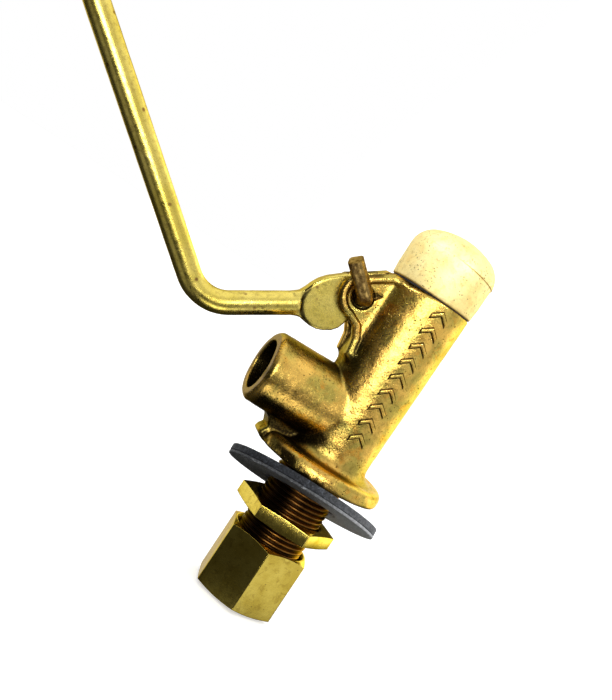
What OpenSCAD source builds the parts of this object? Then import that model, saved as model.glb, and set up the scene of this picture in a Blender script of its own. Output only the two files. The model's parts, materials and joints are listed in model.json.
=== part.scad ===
// Float valve: cast brass body with a bottom inlet, a side outlet and a bent float rod.
// Origin: on the axis of the inlet shank, at the underside of the mounting flange.
// +Z runs up the body to the cap and -X points out of the outlet. Units are millimetres.

/* [Body] */
// Radius of the cast body just above the flange
body_r = 8.7; // [8.6:0.05:8.9]
// Radius of the cast body at its top
body_top_r = 9.05; // [9.0:0.05:9.3]
// Height of the shoulder that carries the cap gasket
shoulder_z = 41.35; // [41:0.05:42]
// Radius of the bore that the plunger slides in
bore_r = 6.6; // [6.4:0.05:6.7]
// Height of the chamber floor
floor_z = 7.0; // [6.8:0.1:7.2]
// Radius of the mounting flange
flange_r = 14.1; // [13.5:0.1:15]
// Thickness of the mounting flange
flange_h = 3.0; // [2.8:0.1:3.2]
// Radius of the hollow blend between the flange and the body
neck_fillet = 2.5; // [1.5:0.1:3]

/* [Inlet shank] */
// Outer radius of the 9/16 inch thread
shank_r = 7.144; // [7.1:0.001:7.2]
// Length of the shank below the flange
shank_len = 23.5; // [23:0.1:24]
// Pitch of the 24 threads per inch
shank_pitch = 1.058; // [1:0.001:1.1]
// Radius of the socket for 3/8 inch tube
tube_r = 4.85; // [4.8:0.01:4.9]
// Depth that the tube goes into the shank
tube_depth = 8.0; // [6:0.1:9]
// Radius of the waterway above the tube
waterway_r = 3.4; // [3:0.1:4]

/* [Outlet] */
// Height of the outlet's axis
outlet_z = 12.5; // [12.3:0.1:12.7]
// Distance from the body's axis to the outlet's mouth
outlet_reach = 21.85; // [20:0.05:24]
// Radius of the outlet's bore
outlet_bore_r = 5.26; // [5:0.01:5.4]
// Radius of the narrower passage from the chamber to the outlet's bore
outlet_throat_r = 4.7; // [4.4:0.1:4.9]
// Distance from the body's axis to the step between the two
outlet_step = 9.0; // [8.5:0.1:11]
// Outer radius of the outlet at its mouth
outlet_r = 7.5; // [7.2:0.1:7.8]
// Outer radius of the outlet where it meets the body
outlet_root_r = 7.9; // [7.6:0.1:8]

/* [Lever] */
// Distance from the body's axis to the pivot
pivot_reach = 12.8; // [12.6:0.1:13]
// Height of the pivot
pivot_z = 34.0; // [33.8:0.1:34.2]
// Radius of the ears round the pivot
ear_r = 4.85; // [4.5:0.05:5.2]
// Half of the width over both ears
ear_out = 3.8; // [3.6:0.05:4]
// Half of the slot between the ears
slot_half = 1.85; // [1.75:0.05:1.9]
// Half of the thickness of the flattened lever
lever_half = 1.6; // [1.5:0.05:1.65]
// Radius of the split pin
pin_r = 1.55; // [1.5:0.01:1.55]
// Radius of the holes for the split pin
pin_hole_r = 1.6; // [1.6:0.01:1.65]
// Radius of the lever's nose
nose_r = 2.0; // [1.8:0.05:2]
// Swing of the nose to each side of level, in degrees
nose_tilt = 11; // [10:0.5:11]
// Radius of the 3/16 inch rod
rod_r = 2.38; // [2.3:0.01:2.4]
// Distance along the rod from the pivot to the bend
rod_first = 31.2; // [28:0.1:36]
// Length of the rod beyond the bend
rod_second = 100; // [80:1:160]
// Radius of the bend at the rod's centre line
bend_r = 8; // [6:0.5:10]
// Fall of the first length below level, in degrees
rod_fall = 32; // [30:0.5:34]
// Rise of the second length above level, in degrees
rod_rise = 39; // [30:0.5:45]

/* [Cap] */
// Radius of the cap at the gasket
cap_foot_r = 9.1; // [9:0.05:9.3]
// Radius of the cap's wall
cap_r = 9.35; // [9.3:0.05:9.6]
// Height of the cap's wall above the gasket
cap_wall = 7.05; // [6.8:0.05:8]
// Radius of the cap's rounded rim
cap_round = 5.0; // [4:0.1:5.5]
// Slope of the crown where it meets the rounded rim, in degrees
cap_slope = 25; // [20:1:30]
// Radius of the threaded spigot under the cap
spigot_r = 7.9; // [7.85:0.01:7.94]
// Length of the spigot
spigot_len = 6.0; // [5.5:0.1:6.2]
// Thickness of the cap gasket
gasket_t = 0.4; // [0.3:0.05:0.6]

/* [Nuts and washers] */
// Width of the lock nut across its flats, 3/4 inch
lock_af = 19.05; // [18.5:0.05:20]
// Thickness of the lock nut
lock_t = 3.0; // [2.5:0.1:3.2]
// Height of the lock nut's upper face
lock_z = -9.8; // [-9.9:0.1:-9.7]
// Width of the compression nut across its flats
comp_af = 16.8; // [16.7:0.05:17.5]
// Height of the compression nut's open end
comp_z = -16.75; // [-17:0.05:-16.6]
// Length of the compression nut
comp_len = 14.1; // [14:0.05:14.4]
// Radius of both washers
washer_r = 17.0; // [16:0.1:18]
// Radius of the washers' holes
washer_hole_r = 8.3; // [8.2:0.05:8.6]
// Thickness of the rubber washer
rubber_t = 1.45; // [1.2:0.05:1.5]
// Thickness of the friction washer
friction_t = 0.6; // [0.4:0.05:0.6]

/* [Hidden] */
$fn = 72;
blend_fn = 32;

// Clearances
thread_gap = 0.04;
slide_gap = 0.1;
nose_gap = 0.15;
eps = 0.05;

// Threads
thread_depth = 0.5;
spigot_pitch = 1.411;
spigot_thread_depth = 0.35;

// Seat and plunger
seat_z = 13.0;
seat_orifice_r = 1.6;
nozzle_r = 5.0;
nozzle_bottom = 2.6;
fibre_t = 0.3;
hex_z = floor_z + fibre_t;
hex_h = 2.0;
nozzle_hex_af = 10;
nose_z = pivot_z + pivot_reach * sin(nose_tilt);
nose_x = -pivot_reach + pivot_reach * cos(nose_tilt);
travel = 2 * pivot_reach * sin(nose_tilt);
disc_bottom = seat_z + travel + eps;
disc_r = 4.95;
disc_t = 3.4;
disc_stand = 1.0;
plunger_r = bore_r - slide_gap;
plunger_bottom = disc_bottom + disc_stand;
plunger_top = 45;

// Width of the web under the outlet, and the corner where it meets the flange
web_w = 5.6;
web_x = 16.6;

// Raised chevrons along the body
chevrons = 9;
chevron_pitch = 3.5;
chevron_foot = 9.6;
chevron_half = 1.9;
chevron_rise = 1.5;
chevron_w = 0.9;
chevron_relief = 0.35;
chevron_turn = -88;

// Lever slot in the body wall
slot_low = 28.5;
slot_high = 39.4;

// Angle of each hexagon's first corner
lock_turn = 42.1;
comp_turn = 17.3;

// The washers lie askew between the flange and the lock nut
washer_tilt = [-16.5, 3.7, 0];
washer_z = -5.45;

ferrule_r = 5.9;
ferrule_end_r = 5.1;
ferrule_top = 22.6;
ferrule_len = 5.0;
ferrule_taper = 1.0;
cone_wide_r = 6.3;

// A bend laps over its straight lengths by this angle, and stands proud by this much
lap_angle = 2;
lap_gap = 0.02;

BRASS = [0.80, 0.62, 0.25];
CAST = [0.70, 0.50, 0.18];
RUBBER = [0.22, 0.23, 0.24];

// Points along an arc, from angle a0 to angle a1
function arc(c, r, a0, a1, steps = 8) =
    [for (i = [0 : steps]) let (a = a0 + (a1 - a0) * i / steps) c + r * [cos(a), sin(a)]];

// Outline of a ridged thread on a round bar, listed from z0 up to z1
function ridges(r, depth, pitch, z0, z1) =
    [for (i = [0 : floor((z1 - z0) / pitch) - 1], k = [[0, depth], [0.44, 0], [0.56, 0]])
        [r - k[1], z0 + (i + k[0]) * pitch]];

// A place on the lever: d along the rod from the pivot, n square to it and upwards
function lever(d, n) =
    [-pivot_reach - d * cos(rod_fall) - n * sin(rod_fall), pivot_z - d * sin(rod_fall) + n * cos(rod_fall)];

// Stands a drawing of X and Z up, with thickness along Y
module upright(thick) {
    rotate([90, 0, 0]) linear_extrude(thick, center = true) children();
}

// A hexagon bar with its corners chamfered at both ends
module hex_bar(af, h, turn) {
    corner = af / 2 / cos(30);
    bevel = (corner - af / 2) * tan(30);
    intersection() {
        rotate(turn) cylinder(h = h, r = corner, $fn = 6);
        rotate_extrude() polygon([[0, 0], [af / 2, 0], [corner, bevel], [corner, h - bevel],
                                  [af / 2, h], [0, h]]);
    }
}

// A bore with a countersink at its foot and at its head
module threaded_bore(r, h, sink) {
    translate([0, 0, -eps]) cylinder(h = h + 2 * eps, r = r);
    translate([0, 0, -eps]) cylinder(h = sink + eps, r1 = r + sink, r2 = r);
    translate([0, 0, h - sink]) cylinder(h = sink + eps, r1 = r, r2 = r + sink);
}

// Flange, neck, body and both threaded ends, as one turned shape
module body_turning() {
    edge = 1.2;
    spigot_top = shoulder_z + spigot_len;
    rotate_extrude() polygon(concat(
        [[0, -shank_len], [shank_r - thread_depth, -shank_len]],
        ridges(shank_r, thread_depth, shank_pitch, -shank_len + 0.2, -0.8),
        [[shank_r - thread_depth, 0], [flange_r - 0.4, 0], [flange_r, 0.4]],
        arc([flange_r - edge, flange_h - edge], edge, 0, 90, 5),
        arc([body_r + neck_fillet, flange_h + neck_fillet], neck_fillet, 270, 180, 6),
        [[body_top_r, shoulder_z], [spigot_r - spigot_thread_depth, shoulder_z]],
        ridges(spigot_r, spigot_thread_depth, spigot_pitch, shoulder_z + 0.2, spigot_top),
        [[spigot_r - spigot_thread_depth, spigot_top], [0, spigot_top]]));
}

// One plate that holds the lever and its pin on both sides of the slot
module ears() {
    upright(2 * ear_out) polygon(concat(
        [[-6.8, shoulder_z - 0.1], [-9.9, shoulder_z - 0.1]],
        [[-17.1, 36.4]],
        arc([-pivot_reach, pivot_z], ear_r, 156, 266, 12),
        [[-11.2, 28.0], [-10.2, 26.0], [-9.8, 23.0], [-6.8, 22.0]]));
}

// Outlet tube and the web that ties it to the flange
module outlet_tube() {
    translate([0, 0, outlet_z]) rotate([0, -90, 0])
        cylinder(h = outlet_reach, r1 = outlet_root_r, r2 = outlet_r);
    upright(web_w) polygon([[-7, 1], [-web_x + 4, 1], [-web_x + 1, 3.2], [-web_x, 6], [-web_x, outlet_z],
                            [-7, outlet_z]]);
}

// A row of raised chevrons that points up the body
module flow_marks() {
    half = chevron_half;
    intersection() {
        rotate(chevron_turn) translate([body_r - 1, 0, 0]) rotate([90, 0, 90]) linear_extrude(3)
            for (i = [0 : chevrons - 1]) translate([0, chevron_foot + i * chevron_pitch])
                polygon([[-half, 0], [0, chevron_rise], [half, 0], [half, chevron_w],
                         [0, chevron_rise + chevron_w], [-half, chevron_w]]);
        cylinder(h = shoulder_z, r1 = body_r + chevron_relief, r2 = body_top_r + chevron_relief);
    }
}

module body_hollows() {
    translate([0, 0, floor_z]) cylinder(h = 60, r = bore_r);
    translate([0, 0, nozzle_bottom]) cylinder(h = 10, r = nozzle_r + thread_gap);
    translate([0, 0, -shank_len]) cylinder(h = 30, r = waterway_r);
    translate([0, 0, -shank_len - eps]) cylinder(h = tube_depth + eps, r = tube_r);
    translate([0, 0, -shank_len - eps])
        cylinder(h = cone_wide_r - tube_r + eps, r1 = cone_wide_r + eps, r2 = tube_r);
    translate([0, 0, outlet_z]) rotate([0, -90, 0]) cylinder(h = 30, r = outlet_throat_r);
    translate([-outlet_step, 0, outlet_z]) rotate([0, -90, 0]) cylinder(h = 30, r = outlet_bore_r);
    translate([-20 - bore_r + 1, -slot_half, slot_low]) cube([20, 2 * slot_half, slot_high - slot_low]);
    upright(2 * slot_half) polygon([[-30, 21], [-9.4, 21], [-9.4, 44], [-30, 44]]);
    translate([-pivot_reach, 0, pivot_z]) rotate([90, 0, 0])
        cylinder(h = 20, r = pin_hole_r, center = true);
}

module valve_body() {
    color(CAST) difference() {
        union() {
            body_turning();
            ears();
            outlet_tube();
            flow_marks();
        }
        body_hollows();
    }
}

module seat_nozzle() {
    rim_r = 2.4;
    base_r = 4.2;
    throat_r = 3.0;
    hex_top = hex_z + hex_h;
    color(BRASS) difference() {
        union() {
            translate([0, 0, nozzle_bottom]) cylinder(h = hex_z - nozzle_bottom + eps, r = nozzle_r);
            translate([0, 0, hex_z]) cylinder(h = hex_h, r = nozzle_hex_af / 2 / cos(30), $fn = 6);
            translate([0, 0, hex_top - eps]) cylinder(h = seat_z - hex_top - 0.3, r1 = base_r, r2 = rim_r);
            translate([0, 0, seat_z - 1]) cylinder(h = 1, r = rim_r);
        }
        translate([0, 0, nozzle_bottom - eps]) cylinder(h = 5, r = throat_r);
        translate([0, 0, nozzle_bottom + 5 - 2 * eps]) cylinder(h = 3, r1 = throat_r, r2 = seat_orifice_r);
        translate([0, 0, nozzle_bottom]) cylinder(h = 20, r = seat_orifice_r);
    }
}

module nozzle_gasket() {
    color("firebrick") translate([0, 0, floor_z]) difference() {
        cylinder(h = fibre_t, r = 5.7);
        translate([0, 0, -eps]) cylinder(h = 1, r = nozzle_r + 0.1);
    }
}

// The window that the lever's nose works in, flared towards the lever
module nose_window() {
    half = nose_r + nose_gap;
    inner = nose_x + nose_r + 0.5;
    lip = nose_x - nose_r;
    mouth = -plunger_r - 1;
    flare = (lip - mouth) * tan(21);
    upright(2 * slot_half) polygon([[inner, nose_z - half], [lip, nose_z - half],
        [mouth, nose_z - half - flare], [mouth, nose_z + half + flare], [lip, nose_z + half],
        [inner, nose_z + half]]);
}

module plunger() {
    chamfer = 0.8;
    groove = 0.5;
    color(BRASS) difference() {
        rotate_extrude() polygon(concat(
            [[0, plunger_bottom], [plunger_r - chamfer, plunger_bottom],
             [plunger_r, plunger_bottom + chamfer]],
            [for (z = [24, 27], k = [[0, 0], [groove, 0], [groove, 1], [0, 1]])
                [plunger_r - k[0], z + k[1]]],
            [[plunger_r, plunger_top - chamfer], [plunger_r - chamfer, plunger_top],
             [0, plunger_top]]));
        translate([0, 0, plunger_bottom - eps])
            cylinder(h = disc_t - disc_stand + 2 * eps, r = disc_r + eps);
        nose_window();
    }
}

module seat_disc() {
    color(RUBBER) translate([0, 0, disc_bottom]) cylinder(h = disc_t, r = disc_r);
}

module cap() {
    foot = shoulder_z + gasket_t;
    rim = foot + cap_wall;
    edge = [cap_r - cap_round, rim] + cap_round * [sin(cap_slope), cos(cap_slope)];
    crown_r = edge[0] / sin(cap_slope);
    inner_r = spigot_r + thread_gap;
    roof = rim + 1.2;
    color(CAST) rotate_extrude() polygon(concat(
        [[inner_r, foot], [cap_foot_r - 0.3, foot], [cap_foot_r, foot + 0.3], [cap_r, foot + 2.5]],
        arc([cap_r - cap_round, rim], cap_round, 0, 90 - cap_slope, 8),
        arc([0, edge[1] - crown_r * cos(cap_slope)], crown_r, 93 - cap_slope, 90, 4),
        [[0, roof], [inner_r - 1.5, roof], [inner_r, roof - 1.5]]));
}

module cap_gasket() {
    color(RUBBER) translate([0, 0, shoulder_z]) difference() {
        cylinder(h = gasket_t, r = body_top_r - 0.35);
        translate([0, 0, -eps]) cylinder(h = 1, r = spigot_r + thread_gap);
    }
}

// A straight length of rod from p, along the angle a
module rod_length(p, a, length) {
    translate([p[0], 0, p[1]]) rotate([0, 90 - a, 0]) cylinder(h = length, r = rod_r);
}

// A round bar bent through an angle in the XY plane, which laps a little over the straight bars it joins
module bent_bar(bar_r, centre_r, turn) {
    rotate([0, 0, -lap_angle]) rotate_extrude(angle = turn + 2 * lap_angle)
        translate([centre_r, 0]) circle(r = bar_r + lap_gap);
}

module float_rod() {
    turn = rod_fall + rod_rise;
    offset_n = -1.55;
    tangent = bend_r * tan(turn / 2);
    neck = 11;
    corner = lever(rod_first, offset_n);
    bend_centre = lever(rod_first - tangent, offset_n + bend_r);
    out = [-cos(rod_rise), sin(rod_rise)];
    second = corner + tangent * out;
    tip_chamfer = 0.6;
    color(BRASS) difference() {
        union() {
            upright(2 * lever_half) hull() {
                for (lobe = [[5.6, -4.2, 2.5], [8.0, -4.1, 2.5], [12.0, -1.55, 2.2],
                             [6.9, 1.2, 2.6], [3.2, 1.5, 2.9], [0, 0, 3.0]])
                    translate(lever(lobe[0], lobe[1])) circle(r = lobe[2], $fn = blend_fn);
            }
            upright(2 * lever_half) hull() {
                translate(lever(0, 0)) circle(r = 2.8, $fn = blend_fn);
                translate([nose_x, nose_z]) circle(r = 1.5, $fn = blend_fn);
            }
            upright(2 * lever_half) translate([nose_x, nose_z]) circle(r = nose_r);
            rod_length(lever(neck, offset_n), 180 + rod_fall, rod_first - tangent - neck);
            translate([bend_centre[0], 0, bend_centre[1]]) rotate([90, 0, 0])
                rotate([0, 0, 270 - rod_rise]) bent_bar(rod_r, bend_r, turn);
            rod_length(second, 180 - rod_rise, rod_second - tangent - tip_chamfer);
            translate([second[0], 0, second[1]]) rotate([0, rod_rise - 90, 0])
                translate([0, 0, rod_second - tangent - tip_chamfer])
                    cylinder(h = tip_chamfer, r1 = rod_r, r2 = rod_r - tip_chamfer);
        }
        translate([-pivot_reach, 0, pivot_z]) rotate([90, 0, 0])
            cylinder(h = 20, r = pin_hole_r, center = true);
    }
}

// Split pin: an eye behind, a straight stretch through the ears, and a tail bent over in front
module split_pin() {
    tail_turn = 74;
    tail_bend_r = 1.8;
    tail_len = 7.4;
    tail_heading = 144;
    front = -ear_out - 0.1;
    eye_r = 2.6;
    wire_r = 1.1;
    eye_y = ear_out + eye_r + wire_r + 0.1;
    color(BRASS) translate([-pivot_reach, 0, pivot_z]) {
        translate([0, front, 0]) rotate([-90, 0, 0]) cylinder(h = eye_y - eye_r - front, r = pin_r);
        translate([0, eye_y, 0]) rotate([0, 25, 0]) rotate_extrude() translate([eye_r, 0]) circle(r = wire_r);
        translate([0, front, 0]) rotate([90, 0, 0]) rotate([0, 0, tail_heading])
            translate([tail_bend_r, 0, 0]) rotate([90, 0, 0]) {
                rotate([0, 0, 180 - tail_turn]) bent_bar(pin_r, tail_bend_r, tail_turn);
                rotate([0, 0, 180 - tail_turn]) translate([tail_bend_r, 0, 0]) rotate([90, 0, 0])
                    cylinder(h = tail_len, r = pin_r);
            }
    }
}

module washer(z0, thick) {
    translate([0.2, 0, washer_z]) rotate(washer_tilt) translate([0, 0, z0]) difference() {
        cylinder(h = thick, r = washer_r);
        translate([0, 0, -eps]) cylinder(h = thick + 2 * eps, r = washer_hole_r);
    }
}

module rubber_washer() {
    color(RUBBER) washer(-(rubber_t + friction_t) / 2 + friction_t, rubber_t);
}

module friction_washer() {
    color([0.45, 0.46, 0.48]) washer(-(rubber_t + friction_t) / 2, friction_t);
}

module lock_nut() {
    color(BRASS) translate([0, 0, lock_z - lock_t]) difference() {
        hex_bar(lock_af, lock_t, lock_turn);
        threaded_bore(shank_r + thread_gap, lock_t, 0.5);
    }
}

module ferrule() {
    bottom = -ferrule_top - ferrule_len;
    color(BRASS) rotate_extrude() polygon([[tube_r, bottom], [ferrule_end_r, bottom],
        [ferrule_r, bottom + ferrule_taper], [ferrule_r, -ferrule_top - ferrule_taper],
        [ferrule_end_r, -ferrule_top], [tube_r, -ferrule_top]]);
}

module compression_nut() {
    bore = shank_r + thread_gap;
    mouth_sink = 0.7;
    end_wall = 2.7;
    seat = cone_wide_r - tube_r;
    wide = end_wall + seat;
    color(BRASS) translate([0, 0, comp_z - comp_len]) difference() {
        hex_bar(comp_af, comp_len, comp_turn);
        translate([0, 0, -eps]) cylinder(h = comp_len, r = tube_r);
        translate([0, 0, end_wall]) cylinder(h = seat, r1 = tube_r, r2 = cone_wide_r);
        translate([0, 0, wide - eps]) cylinder(h = comp_len, r = bore);
        translate([0, 0, comp_len - mouth_sink])
            cylinder(h = mouth_sink + eps, r1 = bore, r2 = bore + mouth_sink);
    }
}

valve_body();
seat_nozzle();
nozzle_gasket();
plunger();
seat_disc();
cap();
cap_gasket();
float_rod();
split_pin();
rubber_washer();
friction_washer();
lock_nut();
ferrule();
compression_nut();
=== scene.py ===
"""Looks of a cast brass float valve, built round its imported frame.

Shapes are worked out in millimetres in the frame's own axes and scaled to metres when a mesh is made.
"""
import json
import math

import bpy
import numpy as np
from mathutils import Matrix, Vector


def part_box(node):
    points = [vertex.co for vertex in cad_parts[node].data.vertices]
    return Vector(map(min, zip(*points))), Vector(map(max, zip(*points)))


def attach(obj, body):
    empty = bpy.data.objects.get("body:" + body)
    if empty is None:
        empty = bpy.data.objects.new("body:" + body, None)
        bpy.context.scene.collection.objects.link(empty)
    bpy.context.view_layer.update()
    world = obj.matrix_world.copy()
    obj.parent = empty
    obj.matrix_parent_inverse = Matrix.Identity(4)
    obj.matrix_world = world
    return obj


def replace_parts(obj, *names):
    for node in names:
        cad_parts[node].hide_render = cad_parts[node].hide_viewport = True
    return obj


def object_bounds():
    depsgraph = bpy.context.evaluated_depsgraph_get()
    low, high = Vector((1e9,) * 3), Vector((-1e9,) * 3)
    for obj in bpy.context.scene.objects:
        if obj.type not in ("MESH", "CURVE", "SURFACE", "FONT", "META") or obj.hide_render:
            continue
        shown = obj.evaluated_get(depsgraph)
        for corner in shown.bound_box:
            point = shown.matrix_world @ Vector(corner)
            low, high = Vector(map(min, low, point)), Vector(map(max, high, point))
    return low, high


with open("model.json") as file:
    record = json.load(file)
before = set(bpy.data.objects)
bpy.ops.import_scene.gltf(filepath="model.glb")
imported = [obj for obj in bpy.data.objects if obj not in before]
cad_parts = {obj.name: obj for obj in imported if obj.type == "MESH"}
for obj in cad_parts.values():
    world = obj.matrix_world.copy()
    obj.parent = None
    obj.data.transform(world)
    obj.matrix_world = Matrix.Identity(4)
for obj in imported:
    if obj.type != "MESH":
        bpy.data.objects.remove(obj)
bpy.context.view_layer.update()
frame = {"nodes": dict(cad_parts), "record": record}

MM = 0.001


# ---------------------------------------------------------------- sizes, from the frame where it holds them
def box_mm(node):
    """Lowest and highest corners of a CAD node, in millimetres."""
    return [np.array(corner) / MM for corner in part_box(node)]


def mount(name):
    return next(m for m in frame["record"]["mounts"] if m["name"] == name)


def joint(name):
    return next(j for j in frame["record"]["behaviour"]["joints"] if j["name"] == name)


BODY_LOW, BODY_HIGH = box_mm("valve_body")
CAP_LOW, CAP_HIGH = box_mm("cap")
LOCK_LOW, LOCK_HIGH = box_mm("lock_nut")
COMP_LOW, COMP_HIGH = box_mm("compression_nut")
PIVOT_X, _, PIVOT_Z = [c / MM for c in joint("lever_swing")["pos_m"]]
OUTLET_Z = mount("outlet")["pos_m"][2] / MM
OUTLET_BORE_R = mount("outlet")["dims"]["r_mm"]
TUBE_R = mount("tube_inlet")["dims"]["r_mm"]
ROD_R = mount("rod_end")["dims"]["r_mm"]

FLANGE_R = BODY_HIGH[1]
FLANGE_H = 3.0
BODY_R = 8.7
BODY_TOP_R = 9.05
SHOULDER_Z = box_mm("cap_gasket")[0][2]
BORE_R = 6.6
FLOOR_Z = 7.0
NOZZLE_HOLE_R = 5.04
NOZZLE_LEDGE_Z = 2.6
WATERWAY_R = 3.4
OUTLET_REACH = -BODY_LOW[0]
OUTLET_R = 7.5
OUTLET_ROOT_R = 7.9

EAR_OUT = 3.8
EAR_R = 4.85
SLOT_HALF = 1.85
SLOT_LOW = 28.5
SLOT_HIGH = 39.4
PIN_HOLE_R = 1.6
PIN_R = 1.55

SHANK_R = 7.144
SHANK_PITCH = 1.058
SHANK_DEPTH = 0.55
LOCK_FLATS = 19.05
LOCK_TURN = math.radians(42.1)
COMP_FLATS = 16.8
COMP_TURN = math.radians(17.3)
SPIGOT_R = 7.9
SPIGOT_PITCH = 1.411
SPIGOT_DEPTH = 0.35

ROD_FALL = math.radians(32)
ROD_RISE = math.radians(39)
ROD_OFFSET = -1.55
ROD_FIRST = 31.2
ROD_SECOND = 100.0
BEND_R = 8.0
LEVER_HALF = 1.6
FACE_CENTRE = (6.8, -2.0)
FACE_R = 5.2
NOSE_REACH = 12.8
NOSE_TILT = math.radians(11)
NOSE_R = 2.0
ROD_THREAD = 13.0

CAP_FOOT_R = 9.1
CAP_WALL = 7.05
CAP_ROUND_R = 5.0
CAP_DOME_SLOPE = math.radians(25)
CAP_LINE_PROUD = 0.13
GASKET_R = 8.74
THREAD_GAP = 0.04
NUT_THREAD_DEPTH = 0.3
CONE_R = 6.3
WASHER_R = 17.0
WASHER_HOLE_R = 8.3
WASHER_CENTRE = (0.2, 0.0, -5.45)
WASHERS_HALF = 1.025

CHEVRONS = 9
CHEVRON_PITCH = 3.5
CHEVRON_FOOT = 9.6
CHEVRON_HALF = 1.9
CHEVRON_RISE = 1.5
CHEVRON_WIDTH = 0.9
CHEVRON_RELIEF = 0.35
CHEVRON_TURN = math.radians(-88)


# ---------------------------------------------------------------- numbers over whole arrays of points
CORNERS = np.array([[i, j, k] for i in (0, 1) for j in (0, 1) for k in (0, 1)])


def smooth_min(a, b, k):
    h = np.clip(0.5 + 0.5 * (b - a) / k, 0.0, 1.0)
    return b + (a - b) * h - k * h * (1.0 - h)


def smooth_max(a, b, k):
    return -smooth_min(-a, -b, k)


def ramp(value, low, high):
    """0 below low, 1 above high, and smooth between."""
    t = np.clip((value - low) / (high - low), 0.0, 1.0)
    return t * t * (3.0 - 2.0 * t)


def fall(value, low, high):
    """1 below low, 0 above high, and smooth between."""
    return 1.0 - ramp(value, low, high)


def lumps(points, size, seed):
    """Smooth random values from -1 to 1 that change over a distance of about size."""
    table = np.random.RandomState(seed).uniform(-1.0, 1.0, 4096)
    cell = points / size
    corner = np.floor(cell).astype(np.int64)
    t = cell - corner
    t = t * t * (3.0 - 2.0 * t)
    total = np.zeros(len(points))
    for shift in CORNERS:
        key = (corner + shift) * (73856093, 19349663, 83492791)
        weight = np.prod(np.where(shift, t, 1.0 - t), axis=1)
        total += weight * table[(key[:, 0] ^ key[:, 1] ^ key[:, 2]) % 4096]
    return total


def outline_distance(px, pz, points):
    """Distance to a closed outline, negative inside it."""
    best = np.full(np.broadcast(px, pz).shape, 1e9)
    inside = np.zeros(best.shape, bool)
    for (ax, az), (bx, bz) in zip(points, points[1:] + points[:1]):
        ex, ez = bx - ax, bz - az
        wx, wz = px - ax, pz - az
        t = np.clip((wx * ex + wz * ez) / (ex * ex + ez * ez), 0.0, 1.0)
        best = np.minimum(best, (wx - ex * t) ** 2 + (wz - ez * t) ** 2)
        if abs(ez) > 1e-9:
            spans = ((az <= pz) & (pz < bz)) | ((bz <= pz) & (pz < az))
            inside = inside ^ (spans & (px < ax + ex * (pz - az) / ez))
    return np.where(inside, -1.0, 1.0) * np.sqrt(best)


def slab(flat, across, half, edge):
    """A flat outline given thickness, with its edges rounded."""
    side = np.abs(across) - (half - edge)
    rim = flat + edge
    outer = np.hypot(np.maximum(side, 0.0), np.maximum(rim, 0.0))
    return outer + np.minimum(np.maximum(side, rim), 0.0) - edge


def arc(cx, cz, r, start, end, steps):
    """Points on an arc, from one angle to another in degrees."""
    turns = [math.radians(start + (end - start) * i / steps) for i in range(steps + 1)]
    return [(cx + r * math.cos(a), cz + r * math.sin(a)) for a in turns]


# ---------------------------------------------------------------- meshes
CELL_EDGES = [(a, b) for a in range(8) for b in range(a + 1, 8)
              if np.abs(CORNERS[a] - CORNERS[b]).sum() == 1]


def gradient(field, points, h=0.02):
    axes = np.eye(3) * h
    parts = [field(*(points + a).T) - field(*(points - a).T) for a in axes]
    return np.stack(parts, 1) / (2 * h)


def surface_net(field, low, high, step):
    """Meshes the surface where field(x, y, z) is zero. Returns points, quads and unit normals."""
    axes = [np.arange(a, b + step, step) for a, b in zip(low, high)]
    grid = np.meshgrid(*axes, indexing="ij", sparse=True)
    value = np.array(np.broadcast_to(field(*grid), [len(a) for a in axes]), np.float32)
    inside = value < 0
    nx, ny, nz = value.shape
    count = sum(inside[i:nx - 1 + i, j:ny - 1 + j, k:nz - 1 + k].astype(np.int8) for i, j, k in CORNERS)
    cells = np.argwhere((count > 0) & (count < 8))
    around = cells[:, None, :] + CORNERS[None]
    corner = value[around[..., 0], around[..., 1], around[..., 2]].astype(float)
    total, hits = np.zeros((len(cells), 3)), np.zeros(len(cells))
    for a, b in CELL_EDGES:
        crossed = (corner[:, a] < 0) != (corner[:, b] < 0)
        gap = np.where(crossed, corner[:, a] - corner[:, b], 1.0)
        place = CORNERS[a] + (corner[:, a] / gap)[:, None] * (CORNERS[b] - CORNERS[a])
        total += place * crossed[:, None]
        hits += crossed
    points = (cells + total / hits[:, None]) * step + np.array(low)
    index = np.full((nx - 1, ny - 1, nz - 1), -1)
    index[tuple(cells.T)] = np.arange(len(cells))
    quads = []
    for axis in range(3):
        u, v = np.eye(3, dtype=int)[[(axis + 1) % 3, (axis + 2) % 3]]
        before = inside.take(range(value.shape[axis] - 1), axis)
        after = inside.take(range(1, value.shape[axis]), axis)
        edge = np.argwhere(before != after)
        outward = before[tuple(edge.T)]
        ring = [index[tuple((edge - shift).T)] for shift in (u + v, v, 0 * u, u)]
        quad = np.stack(ring, 1)
        quad[~outward] = quad[~outward][:, ::-1]
        quads.append(quad)
    for _ in range(3):
        slope = gradient(field, points)
        size = np.maximum((slope ** 2).sum(1), 1e-6)
        move = (field(*points.T) / size)[:, None] * slope
        points = points - np.clip(move, -0.4 * step, 0.4 * step)
    slope = gradient(field, points)
    normals = slope / np.maximum(np.linalg.norm(slope, axis=1), 1e-6)[:, None]
    return points, np.concatenate(quads), normals


def add_object(name, data):
    obj = bpy.data.objects.new(name, data)
    bpy.context.scene.collection.objects.link(obj)
    return obj


def mesh_piece(name, points, faces, material, body, sharp=None):
    """Makes an object from points in millimetres and rides it on a body."""
    mesh = bpy.data.meshes.new(name)
    mesh.from_pydata((np.asarray(points) * MM).tolist(), [], [list(map(int, f)) for f in faces])
    mesh.validate()
    mesh.update()
    mesh.shade_smooth()
    if sharp is not None:
        mesh.set_sharp_from_angle(angle=math.radians(sharp))
    obj = add_object(name, mesh)
    obj.data.materials.append(material)
    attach(obj, body)
    return obj


def put_attribute(obj, name, values):
    layer = obj.data.attributes.new(name, "FLOAT", "POINT")
    layer.data.foreach_set("value", np.asarray(values, np.float32))


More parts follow.
